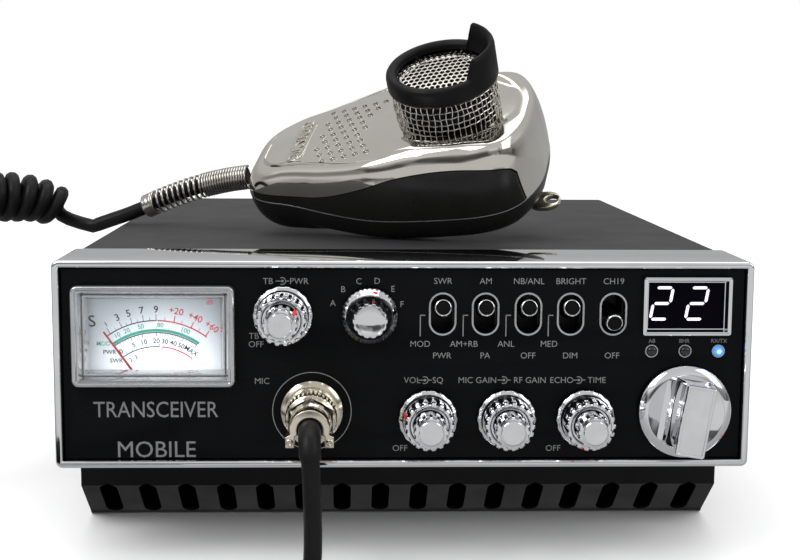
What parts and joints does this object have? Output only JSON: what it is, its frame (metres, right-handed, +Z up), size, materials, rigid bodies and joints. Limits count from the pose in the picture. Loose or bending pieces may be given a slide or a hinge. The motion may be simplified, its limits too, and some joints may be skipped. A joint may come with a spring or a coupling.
{
  "type": "mobile transceiver",
  "caption": "Vehicle two-way radio with backlit signal meter, channel display, dual knobs and toggles, and a chrome hand microphone on a curly cord lying on its cover.",
  "frame": {"origin": "centre of the case's bottom face", "axes": "+X to the right seen from the front, +Y from the front panel towards the rear sockets, +Z up; the front panel looks towards -Y"},
  "size_m": [0.3052, 0.3331, 0.1601],
  "materials": {
    "bezel_chrome": "polished",
    "panel_black": "glossy",
    "meter_clear": "clear moulded",
    "meter_housing": "matt",
    "meter_dial": "backlit white",
    "needle_red": "satin",
    "lamp_dark": "glossy",
    "lamp_blue": "lit",
    "knob_chrome": "polished",
    "control_steel": "plain",
    "nickel": "nickel plated",
    "cover_grey": "satin",
    "base_black": "satin",
    "heat_sink_black": "black anodised",
    "circuit_board": "solder mask",
    "black_plastic": "matt",
    "mic_black": "satin",
    "mesh_steel": "bright wire",
    "black_rubber": "matt"
  },
  "bodies": {
    "radio": {"front_bezel": "bezel_chrome", "display_bezel": "bezel_chrome", "front_panel": "panel_black", "display_module": "panel_black", "meter_bezel": "meter_clear", "meter_window": "meter_clear", "meter_case": "meter_housing", "switch_bank": "meter_housing", "speaker": "meter_housing", "meter_dial": "meter_dial", "led_1": "lamp_dark", "led_2": "lamp_dark", "led_3": "lamp_blue", "power_pot": "control_steel", "volume_pot": "control_steel", "mic_gain_pot": "control_steel", "echo_pot": "control_steel", "band_switch": "control_steel", "channel_switch": "control_steel", "chassis_frame": "control_steel", "rear_panel": "control_steel", "mic_socket": "nickel", "plug_body": "nickel", "plug_clamp": "nickel", "antenna_socket": "nickel", "speaker_jack": "nickel", "top_cover": "cover_grey", "bottom_cover": "base_black", "heat_sink": "heat_sink_black", "main_board": "circuit_board", "power_socket": "black_plastic", "cord_plug_tail": "black_rubber", "cord_curl": "black_rubber", "cord_mic_tail": "black_rubber"},
    "needle": {"meter_needle": "needle_red"},
    "toggle_1_lever": {"toggle_1": "knob_chrome"},
    "toggle_2_lever": {"toggle_2": "knob_chrome"},
    "toggle_3_lever": {"toggle_3": "knob_chrome"},
    "toggle_4_lever": {"toggle_4": "knob_chrome"},
    "toggle_5_lever": {"toggle_5": "knob_chrome"},
    "power_outer": {"power_outer_knob": "knob_chrome"},
    "power_inner": {"power_inner_knob": "knob_chrome"},
    "volume_outer": {"volume_outer_knob": "knob_chrome"},
    "volume_inner": {"volume_inner_knob": "knob_chrome"},
    "mic_gain_outer": {"mic_gain_outer_knob": "knob_chrome"},
    "mic_gain_inner": {"mic_gain_inner_knob": "knob_chrome"},
    "echo_outer": {"echo_outer_knob": "knob_chrome"},
    "echo_inner": {"echo_inner_knob": "knob_chrome"},
    "band": {"band_knob": "knob_chrome"},
    "channel": {"channel_knob": "knob_chrome"},
    "coupling": {"plug_coupling_ring": "nickel"},
    "microphone": {"mic_front_shell": "knob_chrome", "mic_back_shell": "mic_black", "mic_mesh_head": "mesh_steel", "mic_capsule": "black_plastic", "mic_lip_ring": "black_rubber", "mic_hang_button": "nickel", "mic_hang_ring": "knob_chrome", "mic_strain_spring": "mesh_steel"},
    "talk_bar": {"mic_ptt_bar": "mic_black"}
  },
  "joints": [
    {"name": "needle_swing", "type": "hinge", "parent": "radio", "child": "needle", "pos_m": [-0.07165, -0.1137, 0.0462], "axis": [0, 1, 0], "range_deg": [0, 71]},
    {"name": "toggle_1_flip", "type": "hinge", "parent": "radio", "child": "toggle_1_lever", "pos_m": [0.0107, -0.1112, 0.07315], "axis": [1, 0, 0], "range_deg": [0, 26]},
    {"name": "toggle_2_flip", "type": "hinge", "parent": "radio", "child": "toggle_2_lever", "pos_m": [0.023, -0.1112, 0.07315], "axis": [1, 0, 0], "range_deg": [0, 26]},
    {"name": "toggle_3_flip", "type": "hinge", "parent": "radio", "child": "toggle_3_lever", "pos_m": [0.0353, -0.1112, 0.07315], "axis": [1, 0, 0], "range_deg": [0, 26]},
    {"name": "toggle_4_flip", "type": "hinge", "parent": "radio", "child": "toggle_4_lever", "pos_m": [0.0475, -0.1112, 0.07315], "axis": [1, 0, 0], "range_deg": [0, 26]},
    {"name": "toggle_5_flip", "type": "hinge", "parent": "radio", "child": "toggle_5_lever", "pos_m": [0.0598, -0.1112, 0.07315], "axis": [1, 0, 0], "range_deg": [-26, 0]},
    {"name": "power_outer_turn", "type": "hinge", "parent": "radio", "child": "power_outer", "pos_m": [-0.0349, -0.1232, 0.0728], "axis": [0, 1, 0], "range_deg": [0, 300]},
    {"name": "power_inner_turn", "type": "hinge", "parent": "radio", "child": "power_inner", "pos_m": [-0.0349, -0.1302, 0.0728], "axis": [0, 1, 0], "range_deg": [-203, 97]},
    {"name": "volume_outer_turn", "type": "hinge", "parent": "radio", "child": "volume_outer", "pos_m": [0.0067, -0.1232, 0.0427], "axis": [0, 1, 0], "range_deg": [-77, 223]},
    {"name": "volume_inner_turn", "type": "hinge", "parent": "radio", "child": "volume_inner", "pos_m": [0.0067, -0.1302, 0.0427], "axis": [0, 1, 0], "range_deg": [-150, 150]},
    {"name": "mic_gain_outer_turn", "type": "hinge", "parent": "radio", "child": "mic_gain_outer", "pos_m": [0.0294, -0.1232, 0.0427], "axis": [0, 1, 0], "range_deg": [-150, 150]},
    {"name": "mic_gain_inner_turn", "type": "hinge", "parent": "radio", "child": "mic_gain_inner", "pos_m": [0.0294, -0.1302, 0.0427], "axis": [0, 1, 0], "range_deg": [-150, 150]},
    {"name": "echo_outer_turn", "type": "hinge", "parent": "radio", "child": "echo_outer", "pos_m": [0.0523, -0.1232, 0.0427], "axis": [0, 1, 0], "range_deg": [0, 300]},
    {"name": "echo_inner_turn", "type": "hinge", "parent": "radio", "child": "echo_inner", "pos_m": [0.0523, -0.1302, 0.0427], "axis": [0, 1, 0], "range_deg": [-150, 150]},
    {"name": "band_turn", "type": "hinge", "parent": "radio", "child": "band", "pos_m": [-0.0102, -0.1232, 0.0728], "axis": [0, 1, 0], "range_deg": [-78, 52]},
    {"name": "channel_turn", "type": "hinge", "parent": "radio", "child": "channel", "pos_m": [0.0811, -0.1232, 0.0449], "axis": [0, 1, 0], "continuous": true},
    {"name": "coupling_turn", "type": "hinge", "parent": "radio", "child": "coupling", "pos_m": [-0.0267, -0.1252, 0.0449], "axis": [0, 1, 0], "range_deg": [-360, 0]},
    {"name": "microphone_lift", "type": "slide", "parent": "radio", "child": "microphone", "axis": [0, 0, 1], "range_m": [0, 0.2]},
    {"name": "talk_bar_press", "type": "hinge", "parent": "microphone", "child": "talk_bar", "pos_m": [-0.04401, -0.0373, 0.10383], "axis": [-0.1923, -0.4615, 0.866], "range_deg": [0, 2], "stiffness_Nm_per_rad": 6, "springref_deg": -1.15}
  ]
}
